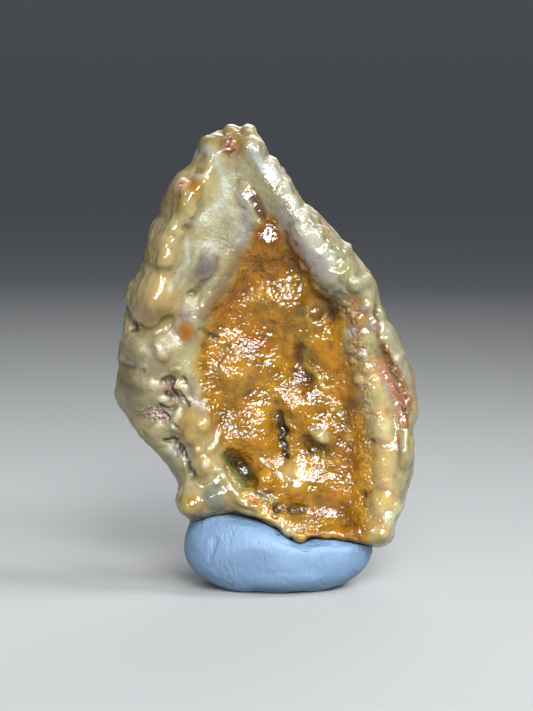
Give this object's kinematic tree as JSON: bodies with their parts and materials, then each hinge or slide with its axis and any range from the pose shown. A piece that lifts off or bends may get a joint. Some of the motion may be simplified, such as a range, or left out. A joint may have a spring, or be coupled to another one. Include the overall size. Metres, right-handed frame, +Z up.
{
  "type": "botryoidal agate specimen on putty",
  "caption": "Leaf-shaped slab of botryoidal agate with a sunken amber face and a knobbly cream rim, standing upright in a lump of display putty.",
  "frame": {"origin": "on the table, under the middle of the specimen", "axes": "+Z up, -Y out of the sunken amber face, +X to the right as that face is seen"},
  "size_m": [0.0381, 0.0165, 0.0583],
  "materials": {
    "agate": "gloss",
    "putty": "matte"
  },
  "bodies": {
    "root": {"agate": "agate", "putty": "putty"}
  },
  "joints": []
}
